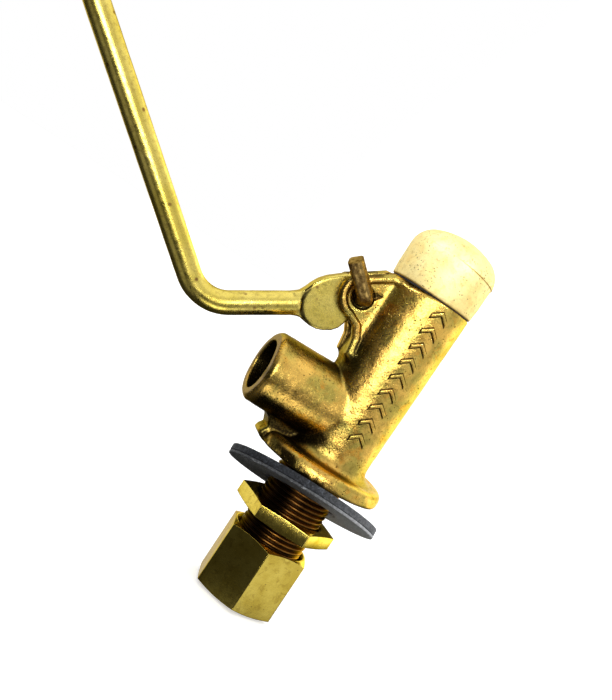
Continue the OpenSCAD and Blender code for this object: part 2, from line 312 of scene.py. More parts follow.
def crevice_and_edge(obj, field, points, normals):
    """Stores how enclosed and how exposed each point of a surface is. How enclosed a point is becomes painted
    shade in hollows and creases.
    """
    crevice_shade = np.zeros(len(points))
    # The enclosure measure below is painted as shade in hollows and creases.
    for reach, weight in ((0.8, 0.35), (2.0, 0.35), (5.0, 0.3)):
        crevice_shade += weight * (1.0 - field(*(points + normals * reach).T) / reach)
    edge = 1.0 + field(*(points - normals * 0.7).T) / 0.7
    put_attribute(obj, "crevice_shade", np.clip(crevice_shade, 0.0, 1.0))
    put_attribute(obj, "edge", np.clip(edge, 0.0, 1.0))


def net_piece(name, field, low, high, step, material, body, rough, seed, **layers):
    """A piece meshed from a distance field, with its surface roughened by up to rough millimetres or so."""
    points, quads, normals = surface_net(field, low, high, step)
    wave = lumps(points, 2.6, seed) + 0.6 * lumps(points, 1.1, seed + 1)
    wave = wave + 0.3 * lumps(points, 0.5, seed + 2)
    obj = mesh_piece(name, points + normals * (rough * wave)[:, None], quads, material, body)
    crevice_and_edge(obj, field, points, normals)
    for layer, values in layers.items():
        put_attribute(obj, layer, values(points, normals))
    return obj


def rounded(corners, steps=3):
    """Rounds the corners of an outline. Each corner is (r, z, radius), and the outline is closed."""
    points = []
    n = len(corners)
    for i, (x, z, radius) in enumerate(corners):
        here = np.array([x, z])
        before, after = [np.array(corners[k % n][:2]) - here for k in (i - 1, i + 1)]
        la, lb = np.linalg.norm(before), np.linalg.norm(after)
        bend = math.acos(np.clip(before @ after / (la * lb), -1.0, 1.0))
        reach = min(radius / max(math.tan(bend / 2), 1e-6), 0.49 * la, 0.49 * lb)
        start, end = here + before / la * reach, here + after / lb * reach
        for k in range(steps + 1):
            t = k / steps
            points.append((1 - t) ** 2 * start + 2 * t * (1 - t) * here + t * t * end)
    return np.array(points)


def ring_faces(turns, count):
    """Quads between neighbouring columns of points, laid round a ring."""
    faces = []
    for i in range(turns):
        j = (i + 1) % turns
        for k in range(count):
            m = (k + 1) % count
            faces.append((i * count + k, i * count + m, j * count + m, j * count + k))
    return faces


def ring_column(section, angle):
    """A section's (r, z) points, turned to an angle about Z."""
    return np.stack([section[:, 0] * math.cos(angle), section[:, 0] * math.sin(angle), section[:, 1]], 1)


def turned_piece(name, column, angles, material, body, sharp=None):
    """A closed ring. column(angle) gives its section as (r, z) points, the same number at every angle.

    A third value in a point says how much painted shade lies there, from 0 to 1.
    """
    columns, shade_level = [], []
    for a in angles:
        section = np.asarray(column(a))
        columns.append(ring_column(section, a))
        shade_level.append(section[:, 2] if section.shape[1] > 2 else np.zeros(len(section)))
    points = np.concatenate(columns)
    obj = mesh_piece(name, points, ring_faces(len(angles), len(columns[0])), material, body, sharp)
    put_attribute(obj, "crevice_shade", np.concatenate(shade_level))
    return obj


def even_angles(count):
    return [2 * math.pi * i / count for i in range(count)]


def thread_height(z, angle, pitch):
    """Height of a right-hand thread with rounded crests and roots, from 0 to 1."""
    phase = (z / pitch - angle / (2 * math.pi)) % 1.0
    rise = np.abs(phase - 0.5) * 2.0
    return ramp(rise, 0.12, 0.88)


def threaded_wall(r_root, depth, pitch, z_from, z_to, angle):
    """Points down or up a threaded wall. The thread dies out over the last millimetre at both ends."""
    steps = max(2, int(abs(z_to - z_from) / pitch * 10))
    z = np.linspace(z_from, z_to, steps)
    near_end = np.minimum(np.abs(z - z_from), np.abs(z - z_to))
    height = thread_height(z, angle, pitch) * ramp(near_end, 0.0, 1.0)
    # The third value is painted shade, darkest in the roots of the thread.
    return np.stack([r_root + depth * height, z, (1.0 - height) ** 1.5], 1)


def with_shade(points, shade_level):
    """Section points with the same painted shade on each."""
    return np.array([(r, z, shade_level) for r, z in points])


def hexagon_radius(angle, half_flat, first_corner, blunt):
    """Radius of a hexagon with slightly blunted corners at an angle about its centre."""
    off = (angle - first_corner + math.pi / 6) % (math.pi / 3) - math.pi / 6
    flat = half_flat / math.cos(math.pi / 6 - abs(off))
    centre = (half_flat - blunt) / math.cos(math.pi / 6)
    under = blunt ** 2 - (centre * math.sin(off)) ** 2
    if under <= 0:
        return flat
    return min(flat, centre * math.cos(off) + math.sqrt(under))


def hexagon_angles(first_corner):
    """Angles about a hexagon, closer together near its corners."""
    offs = [0, 0.5, 1.0, 1.5, 2.2, 3, 4.5, 7, 11, 16, 22, 27]
    offs = sorted(set(offs + [-o for o in offs] + [30]))
    return [first_corner + math.radians(60 * side + off) for side in range(6) for off in offs]


# ---------------------------------------------------------------- materials
class Nodes:
    """A node tree whose nodes are made and joined in single calls."""

    def __init__(self, tree):
        self.tree = tree

    def put(self, socket, value):
        if isinstance(value, bpy.types.NodeSocket):
            self.tree.links.new(value, socket)
        elif isinstance(value, (tuple, list)) and len(value) == 3 and socket.type == "RGBA":
            socket.default_value = (*value, 1.0)
        else:
            socket.default_value = value

    def node(self, kind, inputs=(), **settings):
        node = self.tree.nodes.new(kind)
        for key, value in settings.items():
            setattr(node, key, value)
        for key, value in dict(inputs).items():
            self.put(node.inputs[key], value)
        return node

    def fade(self, value, low, high, to_low=0.0, to_high=1.0, kind="LINEAR"):
        node = self.node("ShaderNodeMapRange", {"Value": value, "From Min": low, "From Max": high,
                                                "To Min": to_low, "To Max": to_high},
                         clamp=True, interpolation_type=kind)
        return node.outputs["Result"]

    def math(self, operation, a, b):
        return self.node("ShaderNodeMath", {0: a, 1: b}, operation=operation).outputs[0]

    def times(self, a, b):
        return self.math("MULTIPLY", a, b)


def shade(colour, factor):
    return tuple(c * factor for c in colour)


class Shader(Nodes):
    """A material's node tree, with its patterns sized in millimetres."""

    def __init__(self, name):
        self.material = bpy.data.materials.new(name)
        self.material.use_nodes = True
        super().__init__(self.material.node_tree)
        self.principled = self.tree.nodes["Principled BSDF"]
        self.coords = self.tree.nodes.new("ShaderNodeTexCoord").outputs["Object"]

    def stretch(self, scale):
        """The piece's own coordinates, squeezed along some axes."""
        return self.node("ShaderNodeMapping", {"Vector": self.coords, "Scale": scale}).outputs["Vector"]

    def noise(self, size, detail=4.0, rough=0.55, coords=None, twist=0.0):
        """Noise whose blotches are about size millimetres across."""
        inputs = {"Vector": coords or self.coords, "Scale": 1.0 / (size * MM), "Detail": detail,
                  "Roughness": rough, "Distortion": twist}
        return self.node("ShaderNodeTexNoise", inputs).outputs["Fac"]

    def spots(self, size, low, high, patch, patch_low, patch_high):
        """Small round spots about size millimetres apart, in patches about patch millimetres across."""
        cells = self.node("ShaderNodeTexVoronoi", {"Vector": self.coords, "Scale": 1.0 / (size * MM)})
        spot = self.fade(cells.outputs["Distance"], high, low)
        return self.times(spot, self.fade(self.noise(patch, 2.0), patch_low, patch_high))

    def attribute(self, name):
        return self.node("ShaderNodeAttribute", attribute_name=name).outputs["Fac"]

    def mix(self, factor, a, b, blend="MIX"):
        node = self.node("ShaderNodeMix", data_type="RGBA", blend_type=blend)
        self.put(node.inputs["Factor"], factor)
        self.put(node.inputs[6], a)
        self.put(node.inputs[7], b)
        return node.outputs[2]

    def bump(self, height, distance, strength=1.0, normal=None):
        inputs = {"Height": height, "Distance": distance * MM, "Strength": strength}
        if normal is not None:
            inputs["Normal"] = normal
        return self.node("ShaderNodeBump", inputs).outputs["Normal"]

    def finish(self, **sockets):
        names = {"colour": "Base Color", "metal": "Metallic", "rough": "Roughness", "normal": "Normal",
                 "specular": "Specular IOR Level", "tint": "Specular Tint",
                 "glow": "Emission Strength", "glow_colour": "Emission Color"}
        for key, value in sockets.items():
            self.put(self.principled.inputs[names[key]], value)
        return self.material


EDGE_TINT = (0.72, 0.60, 0.34)
SKIN_BROWN = (0.30, 0.225, 0.14)
# Near-black colour for painted shade.
SHADE_BLACK = (0.016, 0.011, 0.005)


def cast_brass(name, gold, olive, orange, dark, rough_low=0.22, rough_high=0.46, tarnish=1.0, metal=1.0):
    """Tumbled casting: golden and olive, with orange patches, brown tarnish and painted shade in its hollows,
    painted black shade and small pits.
    """
    s = Shader(name)
    broad = s.noise(6.0, 3.0, 0.55)
    patch = s.noise(2.6, 5.0, 0.62, twist=0.5)
    blotch = s.noise(1.1, 5.0, 0.65, twist=0.6)
    grain = s.noise(0.36, 3.0, 0.65)
    crevice_shade = s.attribute("crevice_shade")
    edge = s.attribute("edge")
    colour = s.mix(s.fade(broad, 0.42, 0.60), gold, olive)
    warm = s.times(s.fade(patch, 0.52, 0.66), s.fade(s.math("ADD", crevice_shade, broad), 0.40, 0.72))
    colour = s.mix(s.times(warm, 0.85), colour, orange)
    stain = s.fade(blotch, 0.50, 0.74, 0.0, 0.6 * tarnish)
    # Hollows darken with tarnish and with painted shade from the crevice measure.
    stain = s.math("ADD", stain, s.fade(crevice_shade, 0.16, 0.62, 0.0, 1.1))
    stain = s.times(stain, s.fade(grain, 0.30, 0.58, 0.5, 1.0))
    stain = s.math("SUBTRACT", stain, s.fade(edge, 0.3, 0.8, 0.0, 0.35))
    # Less stain, and less painted crevice shade, where this layer asks for it.
    stain = s.math("SUBTRACT", stain, s.attribute("worn"))
    stain = s.fade(stain, 0.0, 1.0, 0.0, 0.96)
    colour = s.mix(stain, colour, dark)
    pits = s.spots(0.62, 0.14, 0.27, 2.0, 0.46, 0.58)
    colour = s.mix(s.times(pits, 0.85 * tarnish), colour, shade(dark, 0.4))
    colour = s.mix(s.fade(s.attribute("skin"), 0.0, 1.0, 0.0, 0.9), colour, SKIN_BROWN)
    # Painted black shade, near black where the black-shade layer is high.
    soot = s.times(s.attribute("soot"), s.fade(grain, 0.35, 0.55, 0.80, 1.0))
    colour = s.mix(s.fade(soot, 0.0, 1.0, 0.0, 0.97), colour, SHADE_BLACK)
    rough = s.fade(s.math("ADD", s.times(stain, 0.5), grain), 0.3, 1.1, rough_low, rough_high)
    normal = s.bump(s.noise(1.3, 4.0, 0.6), 0.12, 0.45)
    normal = s.bump(s.math("SUBTRACT", grain, pits), 0.06, 0.85, normal)
    return s.finish(colour=colour, metal=metal, rough=rough, normal=normal, tint=EDGE_TINT)


def turned_brass(name, bright, dull, rough_low=0.12, rough_high=0.24):
    """Machined brass with fine tool lines, brown stains, slightly uneven colour and painted shade where the
    crevice layer is high.
    """
    s = Shader(name)
    tool = s.noise(1.2, 3.0, 0.6, coords=s.stretch((1.0, 1.0, 24.0)))
    broad = s.noise(4.0, 3.0, 0.5)
    stain = s.fade(s.noise(1.6, 5.0, 0.65, twist=0.5), 0.52, 0.72, 0.0, 0.6)
    speck = s.spots(0.9, 0.10, 0.2, 1.8, 0.52, 0.6)
    colour = s.mix(s.fade(broad, 0.38, 0.62), bright, dull)
    colour = s.mix(s.fade(tool, 0.5, 0.7, 0.0, 0.35), colour, shade(dull, 0.7))
    colour = s.mix(stain, colour, tuple(c * k for c, k in zip(dull, (0.42, 0.34, 0.22))))
    colour = s.mix(s.times(speck, 0.6), colour, (0.12, 0.07, 0.02))
    # Painted shade, near black, in thread roots, bores and other shaded places.
    colour = s.mix(s.fade(s.attribute("crevice_shade"), 0.15, 0.9, 0.0, 0.95), colour, (0.018, 0.010, 0.004))
    rough = s.fade(tool, 0.3, 0.7, rough_low, rough_high)
    normal = s.bump(tool, 0.02, 0.5)
    normal = s.bump(s.noise(0.9, 3.0), 0.02, 0.3, normal)
    return s.finish(colour=colour, metal=1.0, rough=rough, normal=normal, tint=EDGE_TINT)


def rod_brass(name):
    """Drawn rod: yellow brass with lengthwise streaks, rubbed patches, small brown spots, and painted shade
    in its hollows and on its shaded edges.
    """
    s = Shader(name)
    broad = s.noise(7.0, 4.0, 0.55)
    streak = s.noise(0.9, 5.0, 0.62, twist=0.4)
    grain = s.noise(0.3, 3.0, 0.6)
    colour = s.mix(s.fade(broad, 0.38, 0.62), (0.88, 0.71, 0.17), (0.74, 0.58, 0.10))
    colour = s.mix(s.fade(streak, 0.50, 0.72, 0.0, 0.6), colour, (0.36, 0.25, 0.06))
    colour = s.mix(s.fade(grain, 0.5, 0.75, 0.0, 0.35), colour, (0.30, 0.22, 0.06))
    spots = s.spots(2.2, 0.10, 0.22, 4.0, 0.50, 0.58)
    colour = s.mix(s.times(spots, 0.85), colour, (0.20, 0.08, 0.03))
    # Painted shade in hollows, from the crevice measure.
    colour = s.mix(s.fade(s.attribute("crevice_shade"), 0.15, 0.6, 0.0, 0.9), colour, (0.10, 0.07, 0.02))
    rough = s.fade(streak, 0.3, 0.75, 0.18, 0.40)
    normal = s.bump(s.noise(0.8, 4.0, 0.6), 0.05, 0.5)
    # Painted black shade from the black-shade layer.
    colour = s.mix(s.fade(s.attribute("soot"), 0.0, 1.0, 0.0, 0.95), colour, (0.02, 0.014, 0.006))
    normal = s.bump(grain, 0.02, 0.6, normal)
    return s.finish(colour=colour, metal=1.0, rough=rough, normal=normal, tint=EDGE_TINT)


def pin_brass(name, bright, dull):
    """Old drawn pin, brown, with scratches along it."""
    s = Shader(name)
    blotch = s.noise(1.0, 5.0, 0.6)
    scratch = s.noise(0.35, 3.0, 0.6)
    colour = s.mix(s.fade(blotch, 0.4, 0.62), bright, dull)
    colour = s.mix(s.fade(scratch, 0.5, 0.7, 0.0, 0.4), colour, shade(dull, 0.5))
    rough = s.fade(blotch, 0.3, 0.7, 0.28, 0.5)
    normal = s.bump(scratch, 0.04, 0.6)
    return s.finish(colour=colour, metal=1.0, rough=rough, normal=normal, tint=EDGE_TINT)


def dull_rubber(name, dark, pale, rough=0.75):
    """Rubber or fibre with scuffs, a coarse, uneven grain, and painted light on one side where a layer asks
    for it.
    """
    s = Shader(name)
    grain = s.noise(0.45, 4.0, 0.7)
    cloud = s.noise(4.0, 4.0, 0.6)
    scuff = s.noise(1.1, 5.0, 0.7, twist=1.0)
    colour = s.mix(s.fade(grain, 0.44, 0.66), dark, pale)
    colour = s.mix(s.fade(cloud, 0.45, 0.75, 0.0, 0.35), colour, pale)
    colour = s.mix(s.fade(scuff, 0.56, 0.66, 0.0, 0.7), colour, tuple(min(1.0, c * 3.0) for c in pale))
    # Painted light: a pale wash on the lit side that the layer marks.
    lit_side = s.times(s.attribute("lit_side"), s.fade(grain, 0.30, 0.60, 0.35, 1.0))
    colour = s.mix(lit_side, colour, (0.55, 0.56, 0.57))
    normal = s.bump(grain, 0.12, 0.8)
    normal = s.bump(scuff, 0.10, 0.5, normal)
    return s.finish(colour=colour, metal=0.0, rough=s.fade(cloud, 0.3, 0.7, rough - 0.1, rough + 0.1),
                    normal=normal, specular=0.4)


CAST = cast_brass("cast_brass", (0.88, 0.55, 0.12), (0.52, 0.40, 0.085), (0.80, 0.35, 0.045),
                  (0.055, 0.030, 0.008))
CAP_BRASS = cast_brass("cap_brass", (1.0, 0.85, 0.40), (1.0, 0.80, 0.32), (0.90, 0.64, 0.22),
                       (0.50, 0.34, 0.10), rough_low=0.50, rough_high=0.66, tarnish=1.1, metal=0.6)
MACHINED = turned_brass("machined_brass", (0.88, 0.68, 0.13), (0.72, 0.53, 0.08))
# A darker copy of the machined brass, whose colour carries painted shade on the threads.
SHADED_THREAD_BRASS = turned_brass("thread_brass_shaded", (0.42, 0.20, 0.045), (0.15, 0.07, 0.018), 0.20, 0.40)
ROD_BRASS = rod_brass("rod_brass")
PIN_BRASS = pin_brass("pin_brass", (0.44, 0.29, 0.09), (0.16, 0.095, 0.03))
RUBBER = dull_rubber("grey_rubber", (0.005, 0.006, 0.008), (0.040, 0.045, 0.055))
FRICTION = dull_rubber("grey_fibre", (0.030, 0.032, 0.036), (0.12, 0.125, 0.13), 0.65)
BLACK_RUBBER = dull_rubber("black_rubber", (0.012, 0.012, 0.013), (0.035, 0.035, 0.037))
RED_FIBRE = dull_rubber("red_fibre", (0.22, 0.045, 0.03), (0.34, 0.09, 0.06))


# ---------------------------------------------------------------- the casting
EAR_OUTLINE = ([(-6.0, 41.0), (-9.8, 41.2), (-17.0, 36.3)]
               + arc(PIVOT_X, PIVOT_Z, EAR_R, 156, 262, 10)
               + [(-11.3, 28.2), (-10.3, 26.4), (-9.7, 23.0), (-6.0, 22.0)])
EAR_LIP = 1.2
EAR_RECESS = 0.6
PIN_SINK_R = 2.3
PIN_SINK_Y = 1.1 - EAR_OUT
# A wedge-shaped recess beside the pin's hole, where black shade is painted.
PIN_NOTCH = [(PIVOT_X - 0.2, PIVOT_Z - 2.2), (PIVOT_X + 3.3, PIVOT_Z + 2.2), (PIVOT_X - 1.6, PIVOT_Z + 1.6)]
WEB_OUTLINE = [(-4.0, 0.3), (-13.4, 0.3), (-14.7, 0.5), (-15.3, 1.0), (-15.1, 1.8), (-14.4, 2.8),
               (-15.0, 4.2), (-16.8, 6.2), (-16.8, 12.0), (-4.0, 12.0)]
WEB_HALF = 2.8
OUTLET_STEP = 9.0
OUTLET_THROAT_R = 4.7


def casting(x, y, z):
    """Distance to the cast body without its two threads."""
    r = np.hypot(x, y)
    around = np.arctan2(y, x)
    barrel = r - (BODY_R + (BODY_TOP_R - BODY_R) * z / SHOULDER_Z)
    worn = 0.2 + 0.7 * ramp(np.cos(around - math.radians(-165)), 0.4, 1.0)
    chamfer = (barrel + z - SHOULDER_Z + worn) / math.sqrt(2)
    solid = np.maximum(smooth_max(np.maximum(barrel, z - SHOULDER_Z), chamfer, 0.2), -z)
    flange = smooth_max(smooth_max(r - FLANGE_R, z - FLANGE_H, 1.9), -z, 0.6)
    solid = smooth_min(solid, flange, 3.0)
    run = -x
    off_axis = np.hypot(y, z - OUTLET_Z)
    tube_wall = off_axis - (OUTLET_ROOT_R + (OUTLET_R - OUTLET_ROOT_R) * run / OUTLET_REACH)
    mouth = np.maximum(tube_wall, run - OUTLET_REACH)
    tube = np.maximum(smooth_max(mouth, (tube_wall + run - OUTLET_REACH + 0.9) / math.sqrt(2), 0.35), -run)
    web = slab(outline_distance(x, z, WEB_OUTLINE), y, WEB_HALF, 0.5)
    solid = smooth_min(solid, smooth_min(tube, web, 0.6), 0.55)
    ear_flat = outline_distance(x, z, EAR_OUTLINE)
    ears = slab(ear_flat, y, EAR_OUT - EAR_RECESS * ramp(-ear_flat, EAR_LIP, EAR_LIP + 0.6), 0.8)
    solid = smooth_min(solid, ears, 1.7)
    return cut_hollows(solid, x, y, z, r)


def cut_hollows(solid, x, y, z, r):
    """Takes the bores, the chamber, the lever's slot and the pin's hole out of the casting."""
    off_axis = np.hypot(y, z - OUTLET_Z)
    off_pivot = np.hypot(x - PIVOT_X, z - PIVOT_Z)
    in_slot = np.abs(y) - SLOT_HALF
    hollows = [
        (np.maximum(r - BORE_R, FLOOR_Z - z), 0.3),
        (np.maximum(r - NOZZLE_HOLE_R, NOZZLE_LEDGE_Z - z), 0.2),
        (r - WATERWAY_R, 0.2),
        (np.maximum(off_axis - OUTLET_THROAT_R, x), 0.3),
        (np.maximum(off_axis - OUTLET_BORE_R, x + OUTLET_STEP), 0.35),
        (np.maximum(np.maximum(in_slot, x + 5.0), np.maximum(SLOT_LOW - z, z - SLOT_HIGH)), 0.5),
        (np.maximum(np.maximum(in_slot, x + 9.3), 21.5 - z), 0.7),
        (off_pivot - PIN_HOLE_R, 0.4),
        (np.maximum(off_pivot - PIN_SINK_R, y - PIN_SINK_Y), 0.3),
        (np.maximum(outline_distance(x, z, PIN_NOTCH), y - PIN_SINK_Y + 0.2), 0.2),
    ]
    for hollow, k in hollows:
        solid = smooth_max(solid, -hollow, k)
    return solid


def casting_soot(points, normals):
    """Where black shade and dark reflections are painted on the casting, from 0 to 1: in the bores, the
    chamber and the pin's recess, under and along the outlet tube, in creases by the ears and the flange, and
    on the flange's rim on one side. The largest of these patches counts at each point.
    """
    x, y, z = points.T
    r, run = np.hypot(x, y), -x
    turn = np.arctan2(y, x)
    off_axis = np.hypot(y, z - OUTLET_Z)
    climb = (z - OUTLET_Z) / np.maximum(off_axis, 1.0)
    from_mouth = OUTLET_REACH - run
    ear_flat = outline_distance(x, z, EAR_OUTLINE)

    bore = fall(off_axis, OUTLET_BORE_R, OUTLET_BORE_R + 0.3) * ramp(from_mouth, 0.1, 0.5)
    bore = bore * ramp(run, 4.0, 6.0)
    chamber = 0.9 * fall(r, BORE_R, BORE_R + 0.3)
    sink = np.minimum(np.hypot(x - PIVOT_X, z - PIVOT_Z) - PIN_SINK_R, outline_distance(x, z, PIN_NOTCH))
    sink = fall(sink, 0.0, 0.3) * fall(-y, EAR_OUT - 0.45, EAR_OUT - 0.25) * ramp(-y, 1.9, 2.1)

    under = ramp(-climb, 0.46, 0.60) * fall(off_axis, 9.6, 11.0)
    under = under * ramp(run, 3.0, 5.0) * ramp(from_mouth, 0.5, 2.5) * ramp(z, 2.6, 3.6)
    back = 0.6 * ramp(climb, 0.78, 0.90) * fall(off_axis, 8.5, 9.5)
    back = back * ramp(run, 8.0, 10.0) * ramp(from_mouth, 0.5, 1.5)
    tube_turn = np.degrees(np.arctan2(-y, z - OUTLET_Z))
    belt = 0.55 * fall(np.abs(tube_turn - 93.0), 4.0, 14.0) * ramp(run, 8.0, 17.0)
    belt = belt * fall(off_axis, 8.5, 9.0) * ramp(lumps(points, 1.0, 53), -0.9, 0.3)

    pocket = ramp(np.cos(turn - math.radians(-152)), 0.95, 0.99) * ramp(z, 17.0, 21.0)
    pocket = pocket * fall(r, BODY_TOP_R + 0.3, BODY_TOP_R + 1.2) * (0.85 - 0.35 * ramp(z, 26.0, 31.0))
    crease = 0.75 * ramp(-ear_flat, EAR_LIP - 0.2, EAR_LIP + 0.1)
    crease = crease * fall(-ear_flat, EAR_LIP + 0.3, EAR_LIP + 0.7)
    crease = crease * ramp(np.abs(y), 2.4, 2.9) * fall(x, -12.0, -10.5)
    rim = 0.9 * ramp(ear_flat, -1.0, -0.6) * fall(ear_flat, 0.1, 0.4) * ramp(-normals[:, 0], 0.05, 0.35)
    rim = rim * ramp(z, 26.0, 28.0) * ramp(run, 11.0, 12.5)

    mottle = ramp(lumps(points, 1.6, 51) + 0.7 * lumps(points, 0.7, 52), -0.45, 0.15)
    foot = 0.95 * ramp(r, FLANGE_R - 1.3, FLANGE_R - 0.7) * fall(z, 1.9, 2.4) * mottle
    foot = foot * ramp(np.cos(turn - math.radians(-140)), 0.60, 0.85)
    groove = 0.8 * fall(np.abs(r - 10.8), 0.5, 1.2) * fall(z, 4.6, 5.4) * ramp(z, 2.6, 3.0)
    groove = groove * ramp(np.cos(turn - math.radians(-130)), 0.2, 0.9)
    return np.max([bore, chamber, sink, under, back, belt, pocket, crease, rim, foot, groove], axis=0)


def casting_skin(points, normals):
    """Where the casting keeps its dull brown skin: the flat ring round the outlet's mouth."""
    return ramp(points[:, 0], -OUTLET_REACH + 0.35, -OUTLET_REACH + 0.1) * ramp(-normals[:, 0], 0.6, 0.8)


def casting_lightened(points, normals):
    """Where the casting is kept lighter, with less stain and less painted crevice shade: the flat faces of
    the ears and the flange's sloping top.
    """
    x, y, z = points.T
    ear = ramp(-outline_distance(x, z, EAR_OUTLINE), EAR_LIP + 0.5, EAR_LIP + 1.0) * ramp(np.abs(y), 2.7, 3.0)
    r = np.hypot(x, y)
    slope = fall(np.abs(r - 12.6), 0.5, 1.0) * ramp(normals[:, 2], 0.4, 0.7) * fall(z, 3.6, 4.4)
    return np.maximum(0.55 * ear * ramp(z, 28.0, 30.0), 0.5 * slope)


def make_casting():
    low = (BODY_LOW[0] - 0.6, -FLANGE_R - 0.6, -0.6)
    high = (FLANGE_R + 0.6, FLANGE_R + 0.6, SHOULDER_Z + 0.6)
    return net_piece("cast_body", casting, low, high, 0.26, CAST, "root", rough=0.04, seed=11,
                     soot=casting_soot, skin=casting_skin, worn=casting_lightened)


def make_chevrons():
    """A row of raised chevrons on the barrel. A dark skirt of painted shade runs round the foot of each."""
    skirt, w, top = 0.2, CHEVRON_WIDTH, CHEVRON_RELIEF
    section = [(-skirt, -0.3), (-skirt, 0.06), (0.0, 0.09), (0.08, top - 0.06), (0.18, top), (w - 0.18, top),
               (w - 0.08, top - 0.06), (w, 0.09), (w + skirt, 0.06), (w + skirt, -0.3)]
    # Painted shade for each point of the section, darkest in the skirt.
    shade_level = [1.0, 1.0, 0.9, 0.1, 0.0, 0.0, 0.1, 0.9, 1.0, 1.0]
    steps = 14
    points, faces, dark = [], [], []
    for i in range(CHEVRONS):
        first = len(points)
        for j in range(steps + 1):
            t = -1.0 + 2.0 * j / steps
            end = min(1.0, (1.0 - abs(t)) / 0.12)
            for (dz, height), shade_here in zip(section, shade_level):
                z = CHEVRON_FOOT + i * CHEVRON_PITCH + CHEVRON_RISE * (1.0 - abs(t)) + dz
                wall = BODY_R + (BODY_TOP_R - BODY_R) * z / SHOULDER_Z
                r = wall + (height if height < 0.1 else height * end)
                turn = CHEVRON_TURN + CHEVRON_HALF * t / BODY_R
                points.append((r * math.cos(turn), r * math.sin(turn), z))
                dark.append(max(shade_here, 1.0 - end))
        n = len(section)
        for j in range(steps):
            for k in range(n):
                m = (k + 1) % n
                a, b = first + j * n, first + (j + 1) * n
                faces.append((a + k, b + k, b + m, a + m))
        faces.append(tuple(first + k for k in range(n)))
        faces.append(tuple(first + steps * n + k for k in reversed(range(n))))
    marks = mesh_piece("flow_marks", points, faces, CAST, "root", 45)
    put_attribute(marks, "crevice_shade", dark)
    put_attribute(marks, "soot", 0.8 * np.array(dark))
    return marks


def make_shank():
    """The inlet shank below the flange: thread outside, tube socket and seat cone inside."""
    end = BODY_LOW[2]
    socket_top = end + 8.0

    def section(angle):
        outside = threaded_wall(SHANK_R - SHANK_DEPTH, SHANK_DEPTH, SHANK_PITCH, 0.4, end + 0.3, angle)
        # Painted shade: the thread darker on its side towards -168 degrees, and a lighter shade inside the
        # socket.
        shade_level = 0.85 * float(ramp(math.cos(angle - math.radians(-168)), 0.35, 0.85))
        outside[:, 2] = np.maximum(outside[:, 2], shade_level)
        inside = [(SHANK_R - SHANK_DEPTH - 0.15, end), (CONE_R, end), (TUBE_R, end + CONE_R - TUBE_R),
                  (TUBE_R, socket_top), (WATERWAY_R, socket_top), (WATERWAY_R, 0.4)]
        return np.concatenate([outside, with_shade(inside, 0.4)])

    return turned_piece("inlet_shank", section, even_angles(120), SHADED_THREAD_BRASS, "root", 50)


def make_spigot():
    """The threaded spigot that the cap screws onto."""
    def section(angle):
        outside = threaded_wall(SPIGOT_R - SPIGOT_DEPTH, SPIGOT_DEPTH, SPIGOT_PITCH, SHOULDER_Z - 0.4,
                                BODY_HIGH[2] - 0.2, angle)[::-1]
        top = BODY_HIGH[2]
        # Painted shade inside the spigot's bore and in its thread roots.
        inside = [(BORE_R + 0.01, SHOULDER_Z - 0.4), (BORE_R + 0.01, top - 0.2), (BORE_R + 0.2, top),
                  (SPIGOT_R - 0.6, top)]
        return np.concatenate([outside, with_shade(inside, 0.2)])

    return turned_piece("cap_spigot", section, even_angles(96), SHADED_THREAD_BRASS, "root", 50)


